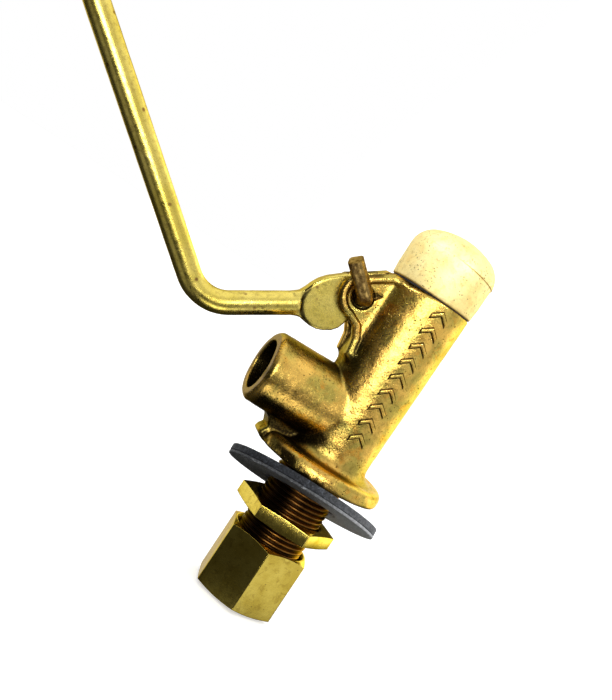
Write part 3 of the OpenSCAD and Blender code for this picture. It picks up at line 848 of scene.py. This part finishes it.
# ---------------------------------------------------------------- cap, nuts and washers
def make_cap():
    """Domed cap. Its wall is turned up to a slanting line, and the dome stands a little proud of it."""
    foot, r = CAP_LOW[2], CAP_HIGH[1]
    foot_r, rim, round_r, slope = CAP_FOOT_R, foot + CAP_WALL, CAP_ROUND_R, CAP_DOME_SLOPE
    inner, roof = SPIGOT_R + THREAD_GAP, rim + 1.2
    lip_depth = 0.55 * (foot - SHOULDER_Z)
    edge_r, edge_z = r - round_r + round_r * math.sin(slope), rim + round_r * math.cos(slope)
    crown_r = edge_r / math.sin(slope)

    def wall_r(z):
        lift = max(z - rim, 0.0)
        swell = 0.05 * math.sin(math.pi * (z - foot) / (rim - foot)) if z < rim else 0.0
        return r - round_r + math.sqrt(round_r ** 2 - lift ** 2) - swell

    def section(angle):
        line_z = rim + 0.5 + 0.9 * math.cos(angle + math.radians(150))
        proud = CAP_LINE_PROUD * float(ramp(math.cos(angle + math.radians(45)), 0.15, 0.9))
        lip = lip_depth * float(ramp(math.cos(angle - math.radians(-50)), -0.2, 0.7))
        # The third value of each point is painted shade: dark under the foot and its lip, in the step at the
        # slanting line, and inside the roof and skirt.
        points = [(inner, foot, 1.0), (foot_r - 0.30, foot, 1.0), (foot_r - 0.28, foot - 0.9 * lip, 1.0),
                  (foot_r - 0.20, foot - lip, 1.0), (foot_r - 0.05, foot - lip + 0.08, 0.8),
                  (foot_r, foot - lip + 0.25, 0.3), (foot_r + 0.06, foot + 0.8, 0.0)]
        points += [(wall_r(z), z, 0.0) for z in np.linspace(foot + 2.5, line_z - 0.25, 6)]
        points += [(wall_r(line_z) - 0.3 * proud, line_z - 0.1, 2.5 * proud),
                   (wall_r(line_z) - 0.3 * proud, line_z, 4.0 * proud),
                   (wall_r(line_z) + 0.8 * proud, line_z + 0.08, 2.5 * proud)]
        start = math.asin(max(line_z + 0.3 - rim, 0.0) / round_r)
        for t in np.linspace(0.0, 1.0, 14):
            a = start + (math.pi / 2 - slope - start) * t
            reach = round_r + proud * (1.0 - t) ** 2
            points.append((r - round_r + reach * math.cos(a), rim + reach * math.sin(a), 0.0))
        for a in np.linspace(slope, 0.004, 8)[1:]:
            points.append((crown_r * math.sin(a), edge_z + crown_r * (math.cos(a) - math.cos(slope)), 0.0))
        points += [(0.02, roof, 0.5), (inner * 0.5, roof, 0.5), (inner - 1.2, roof - 0.2, 0.5)]
        skirt = threaded_wall(inner, SPIGOT_DEPTH, SPIGOT_PITCH, roof - 1.6, foot + 0.2, angle)
        points += [(radius, z, 0.5) for radius, z, _ in skirt]
        return points

    return turned_piece("cap_shell", section, even_angles(160), CAP_BRASS, "cap", 50)


def ring_wander(count, window, seed):
    """Smooth random values round a ring, from about -1 to 1."""
    rough = np.tile(np.random.RandomState(seed).uniform(-1, 1, count), 3)
    smooth = np.convolve(rough, np.ones(window) / window, "same")[count:2 * count]
    return smooth * math.sqrt(window)


def make_gasket():
    """The squeezed gasket under the cap, with a ragged edge."""
    count = 180
    wander = ring_wander(count, 4, 21)
    inner, low, high = SPIGOT_R + 0.08, SHOULDER_Z - 0.03, CAP_LOW[2] + 0.02

    def section(angle):
        edge = GASKET_R + 0.05 * wander[int(round(angle / (2 * math.pi) * count)) % count]
        return rounded([(inner, low, 0.0), (edge, low, 0.12), (edge, high, 0.12), (inner, high, 0.0)], 3)

    return turned_piece("gasket_ring", section, even_angles(count), BLACK_RUBBER, "cap_gasket", 50)


def hexagon_nut(name, low_z, high_z, half_flat, first_corner, bore, body, inside,
                blunt, bevel_low, bevel_top):
    """A hexagon nut. inside(angle) gives the points of its bore, from the lower face to the upper one."""
    bevel_r = half_flat * 0.985
    slope_low, slope_top = math.tan(math.radians(bevel_low)), math.tan(math.radians(bevel_top))

    def section(angle):
        r = hexagon_radius(angle, half_flat, first_corner, blunt)
        reach = max(r - bevel_r, 0.05)
        outer = [(bore + 0.9, high_z, 0.05), (bevel_r, high_z, 0.12), (r, high_z - reach * slope_top, 0.12),
                 (r, low_z + reach * slope_low, 0.12), (bevel_r, low_z, 0.12), (bore + 0.9, low_z, 0.05)]
        return np.concatenate([with_shade(rounded(outer, 3), 0.0), inside(angle)])

    return turned_piece(name, section, hexagon_angles(first_corner), MACHINED, body, 60)


def make_lock_nut():
    low_z, high_z = LOCK_LOW[2], LOCK_HIGH[2]
    bore = SHANK_R + THREAD_GAP

    def inside(angle):
        wall = threaded_wall(bore, NUT_THREAD_DEPTH, SHANK_PITCH, low_z + 0.5, high_z - 0.5, angle)
        # Painted shade inside the bore: dark at both mouths and in the thread roots.
        return np.concatenate([[(bore + 0.5, low_z, 0.8)], wall, [(bore + 0.5, high_z, 0.8)]])

    return hexagon_nut("lock_nut_hex", low_z, high_z, LOCK_FLATS / 2, LOCK_TURN, bore,
                       "lock_nut", inside, blunt=0.2, bevel_low=7, bevel_top=7)


def make_compression_nut():
    low_z, high_z = COMP_LOW[2], COMP_HIGH[2]
    bore = SHANK_R + THREAD_GAP
    wall_top = low_z + 2.7

    def inside(angle):
        # Painted shade inside the bore: mid at the socket and cone, full on the thread.
        below = [(TUBE_R + 0.3, low_z), (TUBE_R, low_z + 0.3), (TUBE_R, wall_top), (CONE_R, wall_top + 1.45),
                 (bore, wall_top + 1.5)]
        wall = threaded_wall(bore, NUT_THREAD_DEPTH, SHANK_PITCH, wall_top + 1.7, high_z - 0.8, angle)
        wall[:, 2] = 1.0
        return np.concatenate([with_shade(below, 0.5), wall, [(bore + 0.7, high_z, 1.0)]])

    return hexagon_nut("compression_nut_hex", low_z, high_z, COMP_FLATS / 2, COMP_TURN, bore,
                       "compression_nut", inside, blunt=0.35, bevel_low=16, bevel_top=20)


def washer_frame():
    """Turns the flat washers' own axes into the frame: they lie askew on the shank."""
    tilt = Matrix.Rotation(math.radians(3.7), 4, "Y") @ Matrix.Rotation(math.radians(-16.5), 4, "X")
    return Matrix.Translation(WASHER_CENTRE) @ tilt


def make_washer(name, z_low, z_high, material, rag, lit_side, seed):
    """A soft washer with a ragged, rounded rim and slightly wavy faces. Light is painted on one side of it.
    """
    count, middle = 220, 12.5
    rim, hole, wave = [ring_wander(count, n, seed + k) for k, n in enumerate((3, 5, 25))]
    nicks = [ring_wander(count, 2, seed + 10 + k) for k in range(6)]
    rim_rows = range(9, 19)
    place = washer_frame()
    columns, lit_side_values = [], []
    for i, a in enumerate(even_angles(count)):
        edge = WASHER_R - 0.10 + 0.5 * rag * rim[i]
        mouth = WASHER_HOLE_R + 0.3 * rag * hole[i]
        lift = 0.02 * wave[i]
        section = rounded([(mouth, z_low, 0.12), (middle, z_low + lift, 2.0), (edge, z_low, 0.22),
                           (edge, z_high, 0.22), (middle, z_high + lift, 2.0), (mouth, z_high, 0.12)], 4)
        for k, row in enumerate(rim_rows):
            section[row, 0] += 0.35 * rag * nicks[k % len(nicks)][i]
        columns.extend(np.array(place @ Vector(p)) for p in ring_column(section, a))
        # Painted light, strongest on the side towards -20 degrees.
        lit_side_values += [lit_side * float(ramp(math.cos(a - math.radians(-20)), -0.1, 0.95))] * len(section)
    washer = mesh_piece(name, columns, ring_faces(count, len(section)), material, "washers", 60)
    put_attribute(washer, "lit_side", lit_side_values)
    return washer


# ---------------------------------------------------------------- the float rod and the split pin
def on_lever(d, n):
    """A place on the lever: d along the rod from the pivot, n square to it and upwards."""
    return (PIVOT_X - d * math.cos(ROD_FALL) - n * math.sin(ROD_FALL),
            PIVOT_Z - d * math.sin(ROD_FALL) + n * math.cos(ROD_FALL))


ROD_CORNER = on_lever(ROD_FIRST, ROD_OFFSET)
BEND_REACH = BEND_R * math.tan((ROD_FALL + ROD_RISE) / 2)
BEND_CENTRE = on_lever(ROD_FIRST - BEND_REACH, ROD_OFFSET + BEND_R)
ROD_OUT = (-math.cos(ROD_RISE), math.sin(ROD_RISE))
PADDLE_OUTLINE = [on_lever(d, n) for d, n in [
    (13.2, 0.6), (11.8, 0.9), (10.6, 1.6), (9.4, 2.5), (8.0, 3.3), (6.4, 3.8), (4.4, 4.1), (2.6, 4.3),
    (0.6, 3.2), (-2.2, 2.0), (-3.4, 0.0), (-2.6, -2.2), (-0.4, -3.2), (1.9, -4.2), (3.1, -5.4), (4.2, -6.3),
    (5.6, -6.75), (7.2, -6.75), (8.6, -6.5), (10.0, -5.8), (11.0, -5.0), (11.9, -4.2), (13.2, -3.7)]]


def rod_centre_distance(x, z):
    """Distance, in the plane of the rod, to its centre line."""
    start = on_lever(10.4, ROD_OFFSET)
    ends = [(start, on_lever(ROD_FIRST - BEND_REACH, ROD_OFFSET)),
            ([c + BEND_REACH * o for c, o in zip(ROD_CORNER, ROD_OUT)],
             [c + (ROD_SECOND - ROD_THREAD - 0.2) * o for c, o in zip(ROD_CORNER, ROD_OUT)])]
    best = 1e9
    for (ax, az), (bx, bz) in ends:
        ex, ez = bx - ax, bz - az
        t = np.clip(((x - ax) * ex + (z - az) * ez) / (ex * ex + ez * ez), 0.0, 1.0)
        best = np.minimum(best, np.hypot(x - ax - t * ex, z - az - t * ez))
    cx, cz = BEND_CENTRE
    angle = np.degrees(np.arctan2(z - cz, x - cx)) % 360
    on_arc = (angle > 270 - math.degrees(ROD_RISE)) & (angle < 270 + math.degrees(ROD_FALL))
    return np.where(on_arc, np.minimum(best, np.abs(np.hypot(x - cx, z - cz) - BEND_R)), best)


def lever_places(x, z):
    """Distances along the rod from the pivot, square to it, and from the middle of its flattened face."""
    along = -(x - PIVOT_X) * math.cos(ROD_FALL) - (z - PIVOT_Z) * math.sin(ROD_FALL)
    across = -(x - PIVOT_X) * math.sin(ROD_FALL) + (z - PIVOT_Z) * math.cos(ROD_FALL)
    return along, across, np.hypot(along - FACE_CENTRE[0], across - FACE_CENTRE[1])


def lever_soot(points, normals):
    """Painted black shade in the step between the rod and its flattened end, along the paddle's lower edge,
    and along the underside of the rod beyond it.
    """
    x, y, z = points.T
    along, across, from_face = lever_places(x, z)
    step = fall(np.abs(from_face - FACE_R + 0.25), 0.35, 0.6) * ramp(along, 8.6, 10.0)
    step = step * ramp(np.abs(y), 1.2, 1.45) * fall(np.abs(y), 2.1, 2.3)
    below = ramp(-across, 3.6, 4.6) * ramp(along, 3.5, 5.0) * fall(along, 12.0, 13.0)
    below = below * fall(np.abs(y), 1.45, 1.58)
    edge = 0.85 * ramp((ROD_OFFSET - across) / ROD_R, 0.80, 0.95) * ramp(along, 11.0, 12.5)
    edge = edge * fall(along, 22.0, 27.0)
    return np.max([step, 0.85 * below, edge], axis=0)


def lever_field(x, y, z):
    """Distance to the float rod with its flattened, drilled end."""
    from_face = lever_places(x, z)[2]
    rod = np.hypot(rod_centre_distance(x, z), y) - ROD_R
    rod = smooth_max(rod, FACE_R - 0.1 - from_face, 0.5)
    paddle = slab(outline_distance(x, z, PADDLE_OUTLINE), y, LEVER_HALF, 0.45)
    nose_x = PIVOT_X + NOSE_REACH * math.cos(NOSE_TILT)
    nose_z = PIVOT_Z + NOSE_REACH * math.sin(NOSE_TILT)
    arm = [(PIVOT_X - 0.5, PIVOT_Z - 2.7), (nose_x, nose_z - 1.5), (nose_x, nose_z + 1.5),
           (PIVOT_X - 0.5, PIVOT_Z + 2.7)]
    nose = np.minimum(outline_distance(x, z, arm), np.hypot(x - nose_x, z - nose_z) - NOSE_R)
    solid = smooth_min(paddle, slab(nose, y, LEVER_HALF, 0.3), 0.3)
    solid = smooth_min(solid, rod, 0.5)
    hole = np.hypot(x - PIVOT_X, z - PIVOT_Z) - PIN_HOLE_R
    return smooth_max(solid, -hole, 0.3)


def make_float_rod():
    low, high = box_mm("float_rod")
    return net_piece("float_lever", lever_field, low - 0.6, high + 0.6, 0.3, ROD_BRASS, "lever",
                     rough=0.012, seed=31, soot=lever_soot)


def bar_frame(origin, direction):
    """Axes with Z along a direction in the rod's plane, at an origin."""
    z = Vector(direction).normalized()
    x = Vector((0, 1, 0)).cross(z).normalized()
    y = z.cross(x)
    turn = Matrix((x, y, z)).transposed().to_4x4()
    return Matrix.Translation(origin) @ turn


def make_rod_thread():
    """The threaded end that the float screws onto, with a short relief behind it."""
    length, pitch, depth = ROD_THREAD, SHANK_PITCH, 0.45
    base = [c + (ROD_SECOND - length) * o for c, o in zip(ROD_CORNER, ROD_OUT)]
    place = bar_frame((base[0], 0.0, base[1]), (ROD_OUT[0], 0.0, ROD_OUT[1]))
    columns, count = [], 64
    for a in even_angles(count):
        wall = threaded_wall(ROD_R - depth, depth - 0.03, pitch, 0.0, length - 0.5, a)
        section = np.concatenate([[(0.02, -0.6), (ROD_R - depth, -0.6)], wall[:, :2],
                                  [(ROD_R - depth - 0.35, length - 0.05), (0.02, length - 0.02)]])
        columns.extend(np.array(place @ Vector(p)) for p in ring_column(section, a))
    return mesh_piece("rod_thread", columns, ring_faces(count, len(section)), ROD_BRASS, "lever", 50)


def sweep(name, path, outline, material, body, up):
    """Draws a closed outline along a path of 3-D points, and closes both ends."""
    path = [Vector(p) for p in path]
    points, faces = [], []
    side = None
    for i, p in enumerate(path):
        ahead = (path[min(i + 1, len(path) - 1)] - path[max(i - 1, 0)]).normalized()
        side = (Vector(up) if side is None else side)
        side = (side - ahead * side.dot(ahead)).normalized()
        other = ahead.cross(side)
        points.extend(p + side * u + other * v for u, v in outline)
    n = len(outline)
    for i in range(len(path) - 1):
        for k in range(n):
            m = (k + 1) % n
            faces.append((i * n + k, i * n + m, (i + 1) * n + m, (i + 1) * n + k))
    faces.append(tuple(reversed(range(n))))
    faces.append(tuple((len(path) - 1) * n + k for k in range(n)))
    return mesh_piece(name, np.array([tuple(p) for p in points]), faces, material, body, 40)


def pin_path():
    """The split pin's centre line, from the eye behind the ears to the end of the bent tail."""
    front = -EAR_OUT - 0.1
    bend, turn, tail = 1.8, math.radians(74), 7.4
    heading = math.radians(144)
    lean = Vector((math.cos(heading), 0.0, math.sin(heading)))
    start = Vector((PIVOT_X, 0.0, PIVOT_Z))
    path = [start + Vector((0, y, 0)) for y in np.linspace(EAR_OUT + 1.4, front, 8)]
    for i in range(1, 9):
        a = turn * i / 8
        path.append(start + Vector((0, front - bend * math.sin(a), 0)) + lean * bend * (1 - math.cos(a)))
    along = Vector((0, -math.cos(turn), 0)) + lean * math.sin(turn)
    path += [path[-1] + along * tail * k / 6 for k in range(1, 7)]
    return path, lean


def pin_leg(radius, sign, twist):
    """Section of one leg of the pin: half of a squarish round wire, flat where it meets the other leg."""
    outline = []
    for a in np.linspace(math.radians(3), math.radians(177), 18):
        squash = 1.0 + 0.10 * math.cos(4 * a)
        outline.append((radius * math.cos(a) / squash, sign * (radius * math.sin(a) / squash + 0.02)))
    if sign < 0:
        outline.reverse()
    c, t = math.cos(twist), math.sin(twist)
    return [(u * c - v * t, u * t + v * c) for u, v in outline]


def make_split_pin():
    """Two half-round legs that lie together, and the eye where the wire turns back."""
    path, lean = pin_path()
    twist = math.radians(62)
    shorter = path[:-1] + [path[-1] * 0.92 + path[-2] * 0.08]
    legs = [sweep("pin_leg_a", path, pin_leg(PIN_R, 1, twist), PIN_BRASS, "root", lean),
            sweep("pin_leg_b", shorter, pin_leg(PIN_R, -1, twist), PIN_BRASS, "root", lean)]
    eye_r, wire = 2.6, 1.1
    centre = Vector((PIVOT_X, EAR_OUT + eye_r + wire + 0.1, PIVOT_Z))
    ring = [(centre + Vector((eye_r * math.cos(a), eye_r * math.sin(a), 0))) for a in even_angles(40)]
    ring.append(ring[0])
    turn = Matrix.Rotation(math.radians(25), 4, "Y")
    turn = Matrix.Translation(centre) @ turn @ Matrix.Translation(-centre)
    eye_path = [turn @ p for p in ring]
    eye = sweep("pin_eye", eye_path, arc(0, 0, wire, 0, 345, 23), PIN_BRASS, "root", (0, 0, 1))
    return legs + [eye]


# ---------------------------------------------------------------- the whole object
def build():
    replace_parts(make_casting(), "valve_body")
    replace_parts(make_shank(), "valve_body")
    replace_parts(make_spigot(), "valve_body")
    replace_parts(make_chevrons(), "valve_body")
    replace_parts(make_cap(), "cap")
    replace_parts(make_gasket(), "cap_gasket")
    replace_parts(make_lock_nut(), "lock_nut")
    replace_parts(make_compression_nut(), "compression_nut")
    low, high = -WASHERS_HALF, WASHERS_HALF
    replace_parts(make_washer("washer_rubber", low + 0.62, high, RUBBER, 0.10, 0.25, 5), "rubber_washer")
    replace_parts(make_washer("washer_friction", low, low + 0.58, FRICTION, 0.05, 0.9, 6), "friction_washer")
    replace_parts(make_float_rod(), "float_rod")
    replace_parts(make_rod_thread(), "float_rod")
    for piece in make_split_pin():
        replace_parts(piece, "split_pin")
    inner = {"seat_nozzle": MACHINED, "plunger": MACHINED, "ferrule": MACHINED, "seat_disc": BLACK_RUBBER,
             "nozzle_gasket": RED_FIBRE}
    for node, material in inner.items():
        mesh = frame["nodes"][node].data
        mesh.materials.clear()
        mesh.materials.append(material)


def add_camera():
    """The viewing angle: a little below the cap, from the -Y side, rolled so that the body leans over."""
    right = Vector((0.80824945, -0.21241121, 0.54919423))
    down = Vector((0.50942824, -0.21552743, -0.83308511))
    ahead = Vector((0.29532304, 0.95311563, -0.06599166))
    place = Vector((-66.025, -162.629, 30.617)) * MM
    camera = add_object("camera", bpy.data.cameras.new("camera"))
    turn = Matrix((right, -down, -ahead)).transposed().to_4x4()
    camera.matrix_world = Matrix.Translation(place) @ turn
    camera.data.sensor_width = 36.0
    camera.data.lens = 44.80
    camera.data.clip_start = 0.005
    bpy.context.scene.camera = camera


def toward(azimuth, elevation):
    """Unit vector towards a direction given in degrees."""
    a, e = math.radians(azimuth), math.radians(elevation)
    return Vector((math.cos(e) * math.cos(a), math.cos(e) * math.sin(a), math.sin(e)))


def place_light(light, aim, azimuth, elevation, distance):
    """Stands a light off a place, in a direction from it, and turns it to face that place."""
    obj = add_object(light.name, light)
    obj.location = aim + toward(azimuth, elevation) * distance
    obj.rotation_euler = (aim - obj.location).to_track_quat("-Z", "Y").to_euler()


def add_softbox(name, azimuth, elevation, distance, size, glare):
    """A rectangular light that faces the valve. glare is how bright its face looks."""
    light = bpy.data.lights.new(name, "AREA")
    light.shape = "RECTANGLE"
    light.size, light.size_y = size
    light.energy = glare * math.pi * size[0] * size[1]
    place_light(light, Vector((0.0, 0.0, 0.02)), azimuth, elevation, distance)


def add_spot(name, azimuth, elevation, power):
    """A narrow lamp that lights the cap and little round it."""
    light = bpy.data.lights.new(name, "SPOT")
    light.energy = power
    light.spot_size = 2 * math.radians(3.4)
    light.spot_blend = 0.5
    light.shadow_soft_size = 0.02
    cap_middle = Vector((0.0, 0.0, (CAP_LOW[2] + CAP_HIGH[2]) / 2 * MM + 0.003))
    place_light(light, cap_middle, azimuth, elevation, 0.30)


def add_floor():
    """A wide, pale, softly uneven sheet that the valve stands over. The metal doesn't mirror it."""
    size, z = 3.0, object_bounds()[0][2] - 0.0005
    mesh = bpy.data.meshes.new("floor")
    corners = [(-size, -size, z), (size, -size, z), (size, size, z), (-size, size, z)]
    mesh.from_pydata(corners, [], [(0, 1, 2, 3)])
    floor = add_object("floor", mesh)
    s = Shader("pale_floor")
    colour = s.mix(s.noise(40.0, 2.0), (0.88, 0.88, 0.88), (0.92, 0.92, 0.92))
    floor.data.materials.append(s.finish(colour=colour, rough=0.9, metal=0.0, glow_colour=(1.0, 1.0, 1.0),
                                         glow=0.45))
    floor.visible_glossy = False
    floor.visible_diffuse = False


# What the metal mirrors, each glow with its angles in degrees:
# (azimuth, elevation, full within, nothing beyond, brightness, cut off below this elevation)
GLOWS = [(0, 90, 26, 70, 1.15, -90),
         (34, 6, 16, 50, 2.5, -15),
         (120, -8, 28, 58, 0.95, -24),
         (-36, 0, 18, 42, 0.72, -30),
         (-78, 12, 18, 34, 0.48, -2),
         (-60, -46, 7, 16, 2.6, -90),
         (-140, -50, 10, 26, 0.25, -90)]
DIM = 0.03


def add_world():
    """White behind the object. What the metal mirrors is dark, with a few broad soft glows."""
    world = bpy.data.worlds.new("studio")
    world.use_nodes = True
    bpy.context.scene.world = world
    w = Nodes(world.node_tree)
    direction = w.node("ShaderNodeTexCoord").outputs["Generated"]
    total = DIM
    height = w.node("ShaderNodeSeparateXYZ", {0: direction}).outputs["Z"]
    for azimuth, elevation, full, none, brightness, lowest in GLOWS:
        facing = w.node("ShaderNodeVectorMath", {0: direction, 1: toward(azimuth, elevation)},
                        operation="DOT_PRODUCT").outputs["Value"]
        glow = w.fade(facing, math.cos(math.radians(none)), math.cos(math.radians(full)), 0.0, brightness,
                      "SMOOTHSTEP")
        if lowest > -90:
            above = w.fade(height, math.sin(math.radians(lowest - 3)), math.sin(math.radians(lowest + 3)))
            glow = w.times(glow, above)
        total = w.math("ADD", total, glow)
    seen = w.node("ShaderNodeLightPath").outputs["Is Camera Ray"]
    background = w.tree.nodes["Background"]
    w.put(background.inputs["Color"], (1.0, 1.0, 1.0))
    w.put(background.inputs["Strength"], w.math("MAXIMUM", total, seen))


add_camera()
build()
add_floor()
add_world()
add_softbox("key", -109, 8, 0.34, (0.18, 0.12), 9.0)
add_spot("cap_left", -165, 30, 4.0)
add_spot("cap_right", -75, 25, 3.0)
bpy.context.scene.view_settings.view_transform = "Standard"
